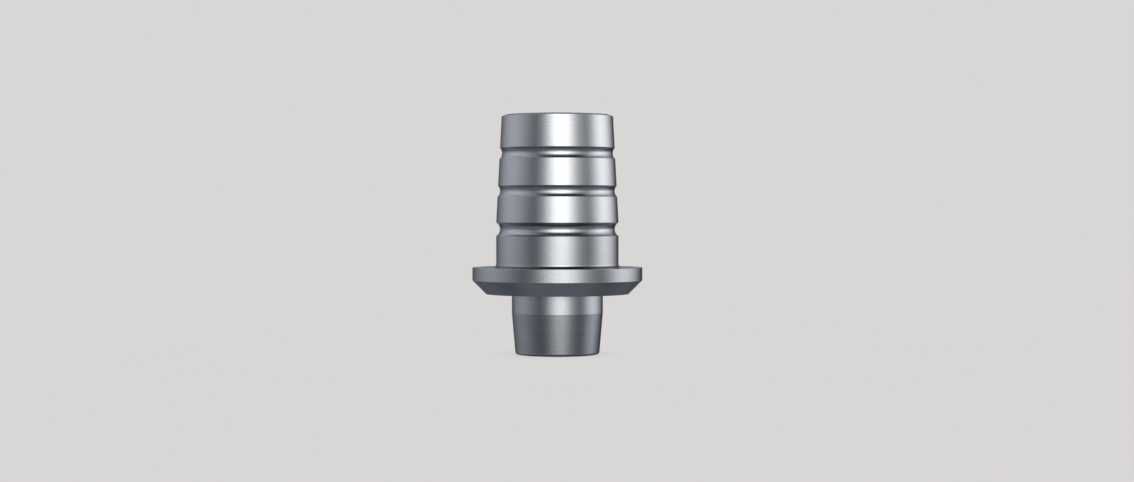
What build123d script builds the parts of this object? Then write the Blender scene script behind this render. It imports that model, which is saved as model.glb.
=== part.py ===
from build123d import *
import os
from math import radians, sqrt, tan

# A one-piece titanium base for a dental implant, turned from bar and free to turn on its implant.
# Millimetres. Z = 0 is the end face of the post that drops into the implant, and +Z runs up the
# axis, through the flange and the cement chimney, to the mouth that the screw enters.
# Radial sizes are built outwards from the screw's clear hole, wall by wall.

# Screw channel.
screw_hole_diameter = 1.80
screw_seat_width = 0.30  # radial width of the cone that the screw's head sits on
screw_seat_angle = 90.0  # included angle of that cone, degrees
screw_seat_rise = 0.10  # from the platform up to the cone's lower edge
mouth_lead_in = 0.05
screw_hole_lead_in = 0.04

# Post.
post_end_wall = 0.21
post_cone_length = 1.10
post_cone_angle = 5.0  # half angle, degrees
post_collar_length = 0.50
post_end_round = 0.08

# Chimney.
mouth_wall = 0.275
foot_wall = 0.42
foot_fillet = 0.09
mouth_bevel_width = 0.11
mouth_bevel_drop = 0.04

# Flange.
shoulder_width = 0.63
rim_height = 0.34
rim_bevel = 0.36  # 45 degrees, from the rim down to the seat on the platform

# Cement grooves.
first_groove_height = 1.01  # above the flange
groove_count = 3
groove_pitch = 1.00
plain_mouth_height = 1.02  # from the last groove up to the mouth
groove_tool_radius = 0.21
first_groove_depth = 0.10  # in the cylinder at the foot
cone_groove_depth = 0.06  # in the cone above it

# Radii, from the screw outwards.
screw_hole_radius = screw_hole_diameter / 2
head_bore_radius = screw_hole_radius + screw_seat_width
post_end_radius = screw_hole_radius + post_end_wall
post_radius = post_end_radius + post_cone_length * tan(radians(post_cone_angle))
mouth_radius = head_bore_radius + mouth_wall
chimney_radius = head_bore_radius + foot_wall
flange_radius = chimney_radius + shoulder_width
seat_radius = flange_radius - rim_bevel

# Levels, from the post's end upwards.
platform_z = post_cone_length + post_collar_length
rim_z = platform_z + rim_bevel
flange_z = rim_z + rim_height
chimney_height = first_groove_height + (groove_count - 1) * groove_pitch + plain_mouth_height
mouth_z = flange_z + chimney_height
screw_seat_z = platform_z + screw_seat_rise + screw_seat_width / tan(radians(screw_seat_angle / 2))


def groove(point, wall, depth):
    """Lower lip, floor and upper lip of a round groove, sunk square to the wall at a point on it."""
    outward = Vector(wall.Y, -wall.X)
    half_width = wall * sqrt(depth * (2 * groove_tool_radius - depth))
    return point - half_width, point - outward * depth, point + half_width


# The cylinder at the chimney's foot ends at the first groove's upper lip, where the cone begins.
foot_wall_direction = Vector(0, 1)
first_groove = groove(
    Vector(chimney_radius, flange_z + first_groove_height), foot_wall_direction, first_groove_depth
)
cone_start = first_groove[2]
mouth_corner = Vector(mouth_radius, mouth_z - mouth_bevel_drop)
cone_direction = (mouth_corner - cone_start).normalized()

grooves = [first_groove]
for number in range(1, groove_count):
    rise = flange_z + first_groove_height + number * groove_pitch - cone_start.Y
    point = cone_start + cone_direction * (rise / cone_direction.Y)
    grooves.append(groove(point, cone_direction, cone_groove_depth))

with BuildPart() as abutment:
    # Half of the section through the axis, with every groove in its outline.
    with BuildSketch(Plane.XZ):
        with BuildLine():
            wall_end = Vector(chimney_radius, flange_z)
            Polyline(
                (0, 0),
                (post_end_radius, 0),
                (post_radius, post_cone_length),
                (post_radius, platform_z),
                (seat_radius, platform_z),
                (flange_radius, rim_z),
                (flange_radius, flange_z),
                wall_end,
            )
            for lower_lip, floor, upper_lip in grooves:
                Line(wall_end, lower_lip)
                ThreePointArc(lower_lip, floor, upper_lip)
                wall_end = upper_lip
            Polyline(
                wall_end,
                mouth_corner,
                (mouth_radius - mouth_bevel_width, mouth_z),
                (0, mouth_z),
                (0, 0),
            )
        make_face()
    revolve(axis=Axis.Z)

    # The two edges that the turning tool rounds: the chimney's foot and the post's end.
    rings = abutment.edges().filter_by(GeomType.CIRCLE)
    foot_ring = rings.filter_by_position(Axis.Z, flange_z, flange_z).sort_by(SortBy.RADIUS)[0]
    fillet(foot_ring, foot_fillet)
    fillet(rings.sort_by(Axis.Z)[0], post_end_round)

    # The screw's channel: head bore from the mouth, conical seat, and clear hole through the post.
    with Locations((0, 0, screw_seat_z)):
        CounterSinkHole(screw_hole_radius, head_bore_radius, counter_sink_angle=screw_seat_angle)
    inner_rings = abutment.edges(Select.LAST).filter_by(GeomType.CIRCLE).sort_by(Axis.Z)
    chamfer(inner_rings[-1], mouth_lead_in)
    chamfer(inner_rings[0], screw_hole_lead_in)

abutment.part.label = "abutment"

os.makedirs("parts", exist_ok=True)
export_step(abutment.part, "parts/abutment.step")

print(f"flange diameter {2 * flange_radius:.3f}, total height {mouth_z:.3f}")
print(f"post diameter {2 * post_radius:.3f}, chimney {2 * chimney_radius:.3f} to {2 * mouth_radius:.3f}")
print(f"volume {abutment.part.volume:.3f} cubic millimetres")
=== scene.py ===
"""A turned titanium abutment under soft studio light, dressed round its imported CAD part."""

from math import acos, atan2, cos, pi, radians, sqrt, tan

import bpy
import numpy as np
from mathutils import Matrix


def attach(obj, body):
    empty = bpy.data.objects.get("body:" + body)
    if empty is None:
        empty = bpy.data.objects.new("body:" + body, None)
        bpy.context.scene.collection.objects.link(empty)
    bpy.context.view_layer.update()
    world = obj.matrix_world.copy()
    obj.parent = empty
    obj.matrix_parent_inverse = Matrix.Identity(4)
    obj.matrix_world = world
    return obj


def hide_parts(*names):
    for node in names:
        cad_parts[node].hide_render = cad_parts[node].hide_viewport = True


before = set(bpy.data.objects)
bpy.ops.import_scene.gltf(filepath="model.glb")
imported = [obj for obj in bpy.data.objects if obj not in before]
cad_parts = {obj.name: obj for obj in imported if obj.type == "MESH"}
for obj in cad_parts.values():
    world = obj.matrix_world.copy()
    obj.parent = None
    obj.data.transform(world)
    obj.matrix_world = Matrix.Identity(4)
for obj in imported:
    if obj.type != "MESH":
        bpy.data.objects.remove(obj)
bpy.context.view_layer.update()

MM = 0.001

# Sizes of the turned part in millimetres, as in the part's source.
screw_hole_radius = 0.90
head_bore_radius = 1.20
post_end_radius = 1.11
post_cone_length = 1.10
post_cone_angle = 5.0
platform_z = 1.60
post_end_round = 0.08
screw_seat_low_z = 1.70
screw_seat_high_z = 2.00
screw_hole_lead_in = 0.04
mouth_lead_in = 0.05
seat_radius = 1.89
flange_radius = 2.25
rim_z = 1.96
flange_z = 2.30
chimney_radius = 1.62
foot_fillet = 0.09
mouth_radius = 1.475
mouth_z = 6.33
mouth_bevel_width = 0.11
mouth_bevel_drop = 0.04
groove_heights = (1.01, 2.01, 3.01)
groove_tool_radius = 0.21
first_groove_depth = 0.10
cone_groove_depth = 0.06

edge_break = 0.006  # the deburred radius of an edge that is sharp on the drawing
broken_edge_limit = 0.05  # a convex corner with a smaller radius counts as a broken edge
turn_step = radians(6.0)  # one facet of a rounded corner
shortest_step = 1e-5  # points of the section that lie closer together are merged
segments = 256

# Painted shade: a darker colour is painted where faces tip down, in the corner at the chimney's
# foot, on the mouth's outward bevel and on the post's end, as a share from 0, none, to 1, full.
# Leans and slopes are how far a face tips down or up, in degrees, and each pair is where a change
# starts and ends.
under_painted_shade = 0.87
under_leans = (2.5, 24.5)
flank_relief = 0.22  # the steep upper flank of a deep groove gets less painted shade
flank_leans = (36, 46)
flat_relief = 0.4  # and so does a face that lies flat
flat_leans = (60, 85)
bevel_painted_shade = 0.8
bevel_rise = (56, 66)
bevel_fall = (74, 86)
corner_painted_shade = 0.8
corner_reach = (0.035, 0.085)  # millimetres from the sharp corner at the chimney's foot
end_leans = (10, 30)
cone_painted_shade = 0.14

# The skin: linear colours, noise sizes per millimetre, and how much each noise moves the tone.
titanium_deep = (0.450, 0.466, 0.506, 1)
titanium_pale = (0.535, 0.552, 0.592, 1)
# the darker colour of the painted shade
titanium_painted_shade = (0.050, 0.053, 0.060, 1)
ring_scale, ring_tone, ring_roughness = 34.0, 0.4, 0.05
grain_scale, grain_tone = 34.0, 2.0
cloud_scale, cloud_tone, cloud_roughness = 1.3, 0.5, 0.04
satin_roughness = 0.235
edge_polish = 0.02  # a broken edge is that much less rough
bump_strength = 0.25
bump_height = 0.0004


def groove_corners(point, wall, depth):
    """Lower lip, apex and upper lip of a round groove, each a (radius, height, corner radius) row.

    The groove is a circle sunk square to the wall. A lip's small circle touches both the wall and
    the groove's circle, so the tangent where the two circles meet crosses the wall at the lip's
    corner, and the two such tangents cross each other at the apex.
    """
    outward = np.array([wall[1], -wall[0]])
    centre_height = groove_tool_radius - depth
    lean = acos((centre_height + edge_break) / (groove_tool_radius + edge_break))
    apex_depth = groove_tool_radius / cos(lean) - centre_height
    half_width = apex_depth / tan(lean)
    return [
        (*(point - wall * half_width), edge_break),
        (*(point - outward * apex_depth), groove_tool_radius),
        (*(point + wall * half_width), edge_break),
    ]


def section_corners():
    """Corners of the section through the axis, a closed loop up the outside and down the bore."""
    post_radius = post_end_radius + post_cone_length * tan(radians(post_cone_angle))
    upright = np.array([0.0, 1.0])
    first_z = flange_z + groove_heights[0]
    first = groove_corners(np.array([chimney_radius, first_z]), upright, first_groove_depth)
    sharp_half_width = sqrt(first_groove_depth * (2 * groove_tool_radius - first_groove_depth))
    cone_start = np.array([chimney_radius, first_z + sharp_half_width])
    mouth_corner = np.array([mouth_radius, mouth_z - mouth_bevel_drop])
    cone = (mouth_corner - cone_start) / np.linalg.norm(mouth_corner - cone_start)
    corners = [
        (post_end_radius, 0.0, post_end_round),
        (post_radius, post_cone_length, edge_break),
        (post_radius, platform_z, edge_break),
        (seat_radius, platform_z, edge_break),
        (flange_radius, rim_z, edge_break),
        (flange_radius, flange_z, edge_break),
        (chimney_radius, flange_z, foot_fillet),
        *first,
    ]
    for height in groove_heights[1:]:
        rise = flange_z + height - cone_start[1]
        corners += groove_corners(cone_start + cone * (rise / cone[1]), cone, cone_groove_depth)
    corners += [
        (*mouth_corner, edge_break),
        (mouth_radius - mouth_bevel_width, mouth_z, edge_break),
        (head_bore_radius + mouth_lead_in, mouth_z, edge_break),
        (head_bore_radius, mouth_z - mouth_lead_in, edge_break),
        (head_bore_radius, screw_seat_high_z, edge_break),
        (screw_hole_radius, screw_seat_low_z, edge_break),
        (screw_hole_radius, screw_hole_lead_in, edge_break),
        (screw_hole_radius + screw_hole_lead_in, 0.0, edge_break),
    ]
    return np.array(corners)


def rounded_loop(corners):
    """Points, normals and broken edges of a closed loop whose corners are arcs.

    Each corner is replaced by an arc of its radius that touches both its sides: the arc starts
    radius * tan(turn / 2) before the corner, and its point at share s of the turn is the centre
    plus the radius times the first side's normal turned by s. Between arcs the loop runs straight.
    """
    place, radius = corners[:, :2], corners[:, 2]
    leave = np.roll(place, -1, axis=0) - place
    leave /= np.linalg.norm(leave, axis=1, keepdims=True)
    arrive = np.roll(leave, 1, axis=0)
    turn = np.arctan2(
        arrive[:, 0] * leave[:, 1] - arrive[:, 1] * leave[:, 0], (arrive * leave).sum(axis=1)
    )
    side = np.sign(turn)
    start_normal = np.stack([arrive[:, 1], -arrive[:, 0]], axis=1)
    start = place - arrive * (radius * np.tan(np.abs(turn) / 2))[:, None]
    centre = start - start_normal * (side * radius)[:, None]
    counts = np.maximum(np.ceil(np.abs(turn) / turn_step).astype(int) + 1, 3)
    corner = np.repeat(np.arange(len(corners)), counts)
    step = np.arange(counts.sum()) - np.repeat(np.cumsum(counts) - counts, counts)
    angle = turn[corner] * step / (counts[corner] - 1)
    normal = start_normal[corner]
    normal = np.stack(
        [
            normal[:, 0] * np.cos(angle) - normal[:, 1] * np.sin(angle),
            normal[:, 0] * np.sin(angle) + normal[:, 1] * np.cos(angle),
        ],
        axis=1,
    )
    point = centre[corner] + normal * (side * radius)[corner][:, None]
    gap = np.linalg.norm(point - np.roll(point, 1, axis=0), axis=1)
    kept = gap > shortest_step
    crest = ((side > 0) & (radius < broken_edge_limit))[corner]
    return point[kept], normal[kept], crest[kept].astype(float)


def smooth_step(value, low, high):
    """0 up to low, 1 from high on, and 3 s^2 - 2 s^3 at share s of the way between."""
    share = np.clip((value - low) / (high - low), 0, 1)
    return share**2 * (3 - 2 * share)


def painted_shade_share(point, normal):
    """How much painted shade each point of the section gets.

    Undersides get painted shade, less on a deep groove's steep upper flank or where a face lies
    flat. So do the outward bevel at the mouth, the corner at the chimney's foot, and most of all
    the round at the post's end, towards which the post's cone darkens evenly.
    """
    radius, height = point[:, 0], point[:, 1]
    slope = np.degrees(np.arcsin(normal[:, 1]))
    lean = -slope
    outward = normal[:, 0] > 0
    under = under_painted_shade * smooth_step(lean, *under_leans)
    under -= flank_relief * smooth_step(lean, *flank_leans) * (height > flange_z)
    bevel = smooth_step(slope, *bevel_rise) * (1 - smooth_step(slope, *bevel_fall)) * outward
    corner = np.hypot(radius - chimney_radius, height - flange_z)
    corner = 1 - smooth_step(corner, *corner_reach)
    end = smooth_step(lean, *end_leans) * (height < post_end_round)
    cone = np.clip(1 - height / post_cone_length, 0, 1) * outward
    tilted = 1 - flat_relief * smooth_step(lean, *flat_leans)
    return np.maximum.reduce(
        [under * tilted, bevel_painted_shade * bevel, corner_painted_shade * corner, end * tilted, cone_painted_shade * cone]
    )


def lathe(name, point, normal, crest):
    """A closed surface of revolution.

    Vertex (i, j) is profile point i turned to angle j / segments: its place is (radius cos,
    radius sin, height), and its normal is the profile's normal turned with it.
    """
    angle = np.arange(segments) * 2 * pi / segments
    turned = np.stack([np.cos(angle), np.sin(angle)], axis=1)
    count = len(point)

    def swept(pair):
        flat = pair[:, None, :1] * turned[None]
        tall = np.broadcast_to(pair[:, None, 1:], (count, segments, 1))
        return np.concatenate([flat, tall], axis=2).reshape(-1, 3)

    grid = np.arange(count * segments).reshape(count, segments)
    around, along = np.roll(grid, -1, axis=1), np.roll(grid, -1, axis=0)
    faces = np.stack([grid, around, np.roll(along, -1, axis=1), along], axis=2).reshape(-1, 4)
    mesh = bpy.data.meshes.new(name)
    mesh.from_pydata(swept(point) * MM, [], faces)
    mesh.shade_smooth()
    mesh.normals_split_custom_set_from_vertices(swept(normal))
    # the second attribute is the share of painted shade at each point
    for label, share in (("edge", crest), ("painted_shade", painted_shade_share(point, normal))):
        mesh.attributes.new(label, "FLOAT", "POINT").data.foreach_set(
            "value", np.repeat(share, segments).astype(np.float32)
        )
    piece = bpy.data.objects.new(name, mesh)
    bpy.context.scene.collection.objects.link(piece)
    return piece


class Signal:
    """One output of a shader node; Python's operators on it add the Math nodes."""

    def __init__(self, shader, socket):
        self.shader, self.socket = shader, socket

    def maths(self, operation, *values):
        return self.shader.add("ShaderNodeMath", {"operation": operation}, dict(enumerate(values)))

    def __add__(self, other):
        return self.maths("ADD", self, other)

    __radd__ = __add__

    def __sub__(self, other):
        return self.maths("SUBTRACT", self, other)

    def __rsub__(self, other):
        return self.maths("SUBTRACT", other, self)

    def __mul__(self, other):
        return self.maths("MULTIPLY", self, other)

    __rmul__ = __mul__

    def __truediv__(self, other):
        return self.maths("DIVIDE", self, other)

    def __pow__(self, other):
        return self.maths("POWER", self, other)

    def ramp(self, low, high):
        """0 up to low, 1 from high on, and a smooth rise between."""
        return self.shader.add(
            "ShaderNodeMapRange",
            {"interpolation_type": "SMOOTHSTEP"},
            {"Value": self, "From Min": low, "From Max": high},
        )


class Shader:
    """A node tree, with one method that adds any node and a few that name a common one."""

    def __init__(self, owner):
        owner.use_nodes = True
        self.tree = owner.node_tree
        self.tree.nodes.clear()

    def add(self, kind, settings=None, inputs=None, output=0):
        """Adds a node of a kind: its settings first, then its sockets' values or links."""
        node = self.tree.nodes.new(kind)
        for key, value in (settings or {}).items():
            setattr(node, key, value)
        for key, value in (inputs or {}).items():
            if isinstance(value, Signal):
                self.tree.links.new(value.socket, node.inputs[key])
            else:
                node.inputs[key].default_value = value
        return Signal(self, node.outputs[output] if node.outputs else None)

    def vector(self, operation, inputs, output=0):
        return self.add("ShaderNodeVectorMath", {"operation": operation}, inputs, output)

    def split(self, vector):
        """The three parts of a vector."""
        parts = ("X", "Y", "Z")
        return [self.add("ShaderNodeSeparateXYZ", {}, {0: vector}, part) for part in parts]

    def blend(self, factor, first, second):
        """A colour that is the first at factor 0 and the second at 1."""
        return self.add(
            "ShaderNodeMix", {"data_type": "RGBA"}, {"Factor": factor, 6: first, 7: second}, 2
        )


def turned_titanium():
    """Satin titanium as it leaves the lathe: fine tool rings, a soft grain and smoother edges.

    Its tone is worked out from three noises, and painted shade darkens it where a mesh attribute
    says.
    """
    shader = Shader(material := bpy.data.materials.new("turned_titanium"))
    place = shader.add("ShaderNodeTexCoord", output="Object")
    place = shader.vector("SCALE", {0: place, "Scale": 1 / MM})
    x, y, z = shader.split(place)
    section = shader.add("ShaderNodeCombineXYZ", {}, {"X": (x * x + y * y) ** 0.5, "Y": z})
    rings = shader.add(
        "ShaderNodeTexNoise",
        {"noise_dimensions": "2D"},
        {"Vector": section, "Scale": ring_scale, "Detail": 2.0, "Roughness": 0.6},
        "Fac",
    )
    grain = {"Vector": place, "Scale": grain_scale, "Detail": 1.0}
    grain = shader.add("ShaderNodeTexNoise", {}, grain, "Fac")
    cloud = {"Vector": place, "Scale": cloud_scale, "Detail": 2.0}
    cloud = shader.add("ShaderNodeTexNoise", {}, cloud, "Fac")
    edge = shader.add("ShaderNodeAttribute", {"attribute_name": "edge"}, output="Fac")
    painted_shade = shader.add("ShaderNodeAttribute", {"attribute_name": "painted_shade"}, output="Fac")
    tone = 0.5 + (cloud - 0.5) * cloud_tone + (rings - 0.5) * ring_tone + (grain - 0.5) * grain_tone
    colour = shader.blend(tone, titanium_deep, titanium_pale)
    # painted shade: a darker colour where faces tip down, in the foot's corner, on the mouth's
    # bevel and on the post's end
    colour = shader.blend(painted_shade, colour, titanium_painted_shade)
    roughness = satin_roughness + (rings - 0.5) * ring_roughness
    roughness = roughness + (cloud - 0.5) * cloud_roughness - edge * edge_polish
    height = rings * 0.6 + grain * 0.4
    bump = shader.add(
        "ShaderNodeBump",
        {},
        {"Strength": bump_strength, "Distance": bump_height * MM, "Height": height},
    )
    surface = shader.add(
        "ShaderNodeBsdfPrincipled",
        {},
        {"Base Color": colour, "Metallic": 1.0, "Roughness": roughness, "Normal": bump},
    )
    shader.add("ShaderNodeOutputMaterial", {}, {"Surface": surface})
    return material


part = lathe("turned_body", *rounded_loop(section_corners()))
part.data.materials.append(turned_titanium())
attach(part, "root")
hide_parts("abutment")

# Studio: radii in metres, and reaches in millimetres from the part's axis.
background = (0.6952, 0.6740, 0.6740, 1)
floor_radius = 2.0
painted_floor_glow = 0.027  # painted light: how much lighter the floor is painted beside the part
painted_glow_reach = (2, 10)
floor_flat = 0.81  # the share of the floor's look that takes no shadow, where the part stands
flat_gain = 0.11  # how much that share grows over the next reach
flat_reach = (1.15, 1.9)
tent_radius = 0.3
pole_gap = 0.02  # radians between the tent's pole and its first ring


def pale_to_sight(shader):
    """1 for the rays that see the background: from the camera, mirrored or through glass."""
    path = [
        shader.add("ShaderNodeLightPath", output=name)
        for name in ("Is Camera Ray", "Is Glossy Ray", "Is Transmission Ray")
    ]
    return path[0].maths("MAXIMUM", path[0], path[1].maths("MAXIMUM", path[1], path[2]))


def studio_world():
    """Even white light, which looks like the pale background where it is seen."""
    shader = Shader(world := bpy.data.worlds.new("studio_air"))
    light = shader.add("ShaderNodeBackground", {}, {"Color": (1, 1, 1, 1), "Strength": 1.0})
    seen = shader.add("ShaderNodeBackground", {}, {"Color": background, "Strength": 1.0})
    mixed = shader.add("ShaderNodeMixShader", {}, {0: pale_to_sight(shader), 1: light, 2: seen})
    shader.add("ShaderNodeOutputWorld", {}, {"Surface": mixed})
    bpy.context.scene.world = world


def stage_piece(name, place, faces, material):
    """A piece of the studio, which isn't part of the object."""
    mesh = bpy.data.meshes.new(name)
    mesh.from_pydata(place, [], faces)
    mesh.materials.append(material)
    piece = bpy.data.objects.new(name, mesh)
    bpy.context.scene.collection.objects.link(piece)
    return piece


def pale_floor(sides=96):
    """A matt pale table that looks like the background but takes the part's shadow.

    It is a flat sheet whose rim is a circle at height 0. Round the part it is painted a touch
    lighter, a painted pool of light, and the shadow is deepest where the part stands. From below it
    can be seen through, so that the part's underside shows, and the metal doesn't mirror it.
    """
    shader = Shader(material := bpy.data.materials.new("pale_table"))
    place = shader.add("ShaderNodeTexCoord", output="Object")
    reach = shader.vector("LENGTH", {0: place}, "Value") / MM
    # painted light: the floor's colour is painted lighter near the part
    painted_glow = 1 + painted_floor_glow - painted_floor_glow * reach.ramp(*painted_glow_reach)
    pale = shader.vector("SCALE", {0: background[:3], "Scale": painted_glow})
    matt = shader.add("ShaderNodeBsdfDiffuse", {}, {"Color": background})
    flat = shader.add("ShaderNodeEmission", {}, {"Color": pale, "Strength": 1.0})
    share = pale_to_sight(shader) * (floor_flat + flat_gain * reach.ramp(*flat_reach))
    mixed = shader.add("ShaderNodeMixShader", {}, {0: share, 1: matt, 2: flat})
    below = shader.add("ShaderNodeNewGeometry", output="Backfacing")
    clear = shader.add("ShaderNodeBsdfTransparent")
    sheet = shader.add("ShaderNodeMixShader", {}, {0: below, 1: mixed, 2: clear})
    shader.add("ShaderNodeOutputMaterial", {}, {"Surface": sheet})
    angle = np.arange(sides) * 2 * pi / sides
    rim = np.stack([np.cos(angle), np.sin(angle), np.zeros(sides)], axis=1) * floor_radius
    floor = stage_piece("table", rim, [tuple(range(sides))], material)
    floor.visible_glossy = False


# Windows of light: where each begins, peaks and ends in azimuth, then in elevation, its strength
# and its colour. Directions are degrees, azimuth 0 towards the camera and positive to its right,
# and on past 180 round behind the part. The first four light the front. The table lights stand for
# light that a table throws up, and the low ones for light from below and behind. The flags take
# light away where the ends of the flange's chamfer mirror it. The last three light the back and
# the upper faces.
warm, cool, white = (1.02, 1.01, 0.96), (0.96, 1.0, 1.08), (1.0, 1.0, 1.0)
softboxes = {
    "key": (-30, 6, 90, -23.5, 16, 53.5, 1.15, warm),
    "centre": (-50, 9, 45, -25.5, 20, 57, 1.83, warm),
    "right": (55.5, 97.5, 158.5, -15, 7, 67, 1.75, (1.01, 1.0, 0.97)),
    "left": (-178, -101.5, -18, -29.5, 18.5, 107, 0.77, (0.975, 0.98, 0.995)),
    "table_key": (-24, 12, 38, -71, -25, -3, 0.165, cool),
    "table_right": (59, 108, 132, -56, -21, 0, 0.56, cool),
    "table_left": (-145, -110, -64, -56, -21, -10, 0.38, cool),
    "low_right": (100, 134, 168, -32, -19, -7, 0.20, white),
    "low_left": (192, 226, 260, -32, -19, -7, 0.30, white),
    "flag_right": (134, 157, 180, -40, -24, -14, -0.22, white),
    "flag_left": (180, 203, 226, -40, -24, -14, -0.22, white),
    "behind": (156, 180, 204, -45, -8, 24, 0.45, white),
    "back_wall": (112, 180, 248, 10, 36, 62, 0.60, white),
    "above_behind": (112, 180, 248, 46, 72, 100, 1.10, white),
}

# The tent's cloth glows faintly, and brighter below these two elevations.
cloth_glow = (0.017, 0.023, 0.037)
table_glow, table_edge = 0.42, (-25, -15)
under_glow, under_edge = 0.33, (-70, -52)


def studio_tent(rows=48, columns=96):
    """Dim cloth all round the part, with soft-edged windows of light, that only metal shows.

    It is a closed ball: point (i, j) has polar angle i / rows and azimuth j / columns.
    """
    shader = Shader(material := bpy.data.materials.new("tent_cloth"))
    direction = shader.add("ShaderNodeTexCoord", output="Object")
    x, y, z = shader.split(shader.vector("NORMALIZE", {0: direction}))
    azimuth = x.maths("ARCTAN2", x, 0 - y) * (180 / pi)
    behind = azimuth.maths("MODULO", azimuth + 360, 360)
    elevation = z.maths("ARCSINE", z) * (180 / pi)

    def window(value, start, peak, end):
        return value.ramp(start, peak) * (1 - value.ramp(peak, end))

    def lit(glow, strength, colour):
        light = shader.vector("SCALE", {0: colour, "Scale": strength})
        return shader.vector("ADD", {0: glow, 1: light})

    low = table_glow * (1 - elevation.ramp(*table_edge))
    low = low + under_glow * (1 - elevation.ramp(*under_edge))
    glow = lit(cloth_glow, low, cool)
    for *edges, strength, colour in softboxes.values():
        around = behind if edges[2] > 180 else azimuth
        shape = window(around, *edges[:3]) * window(elevation, *edges[3:])
        glow = lit(glow, shape * strength, colour)
    light = shader.add("ShaderNodeEmission", {}, {"Color": glow, "Strength": 1.0})
    shader.add("ShaderNodeOutputMaterial", {}, {"Surface": light})
    polar = np.linspace(pole_gap, pi - pole_gap, rows)[:, None]
    turn = np.arange(columns)[None] * 2 * pi / columns
    flat = np.sin(polar)
    place = [flat * np.cos(turn), flat * np.sin(turn), np.cos(polar) + 0 * turn]
    place = np.stack(place, axis=2).reshape(-1, 3) * tent_radius
    grid = np.arange(rows * columns).reshape(rows, columns)
    around = np.roll(grid, -1, axis=1)
    faces = np.stack([grid[:-1], grid[1:], around[1:], around[:-1]], axis=2).reshape(-1, 4)
    caps = [tuple(grid[0]), tuple(grid[-1][::-1])]
    tent = stage_piece("studio_tent", place, [*faces.tolist(), *caps], material)
    tent.data.shade_smooth()
    tent.location.z = mouth_z * MM / 2
    for kind in ("camera", "diffuse", "transmission", "shadow", "volume_scatter"):
        setattr(tent, "visible_" + kind, False)


studio_world()
pale_floor()
studio_tent()

# The camera: a pinhole fitted to the rings' curvature in the photograph, in its pixels.
image_width = 1134
image_height = 482
flange_pixels = 170
focal_pixels = 1979.0
axis_column = 556.87
horizon_row = 213.41
foot_row = 353.76
pixel_size = 2 * flange_radius * MM / flange_pixels
camera_data = bpy.data.cameras.new("camera")
camera_data.lens = focal_pixels / image_width * camera_data.sensor_width
camera_data.clip_start, camera_data.clip_end = 1 * MM, 10.0
camera = bpy.data.objects.new("camera", camera_data)
camera.location = (0, -focal_pixels * pixel_size, (foot_row - horizon_row) * pixel_size)
pitch = atan2((image_height - 1) / 2 - horizon_row, focal_pixels)
yaw = atan2((image_width - 1) / 2 - axis_column, focal_pixels)
camera.rotation_euler = (pi / 2 - pitch, 0, -yaw)
bpy.context.scene.collection.objects.link(camera)
bpy.context.scene.camera = camera
bpy.context.scene.view_settings.view_transform = "Standard"
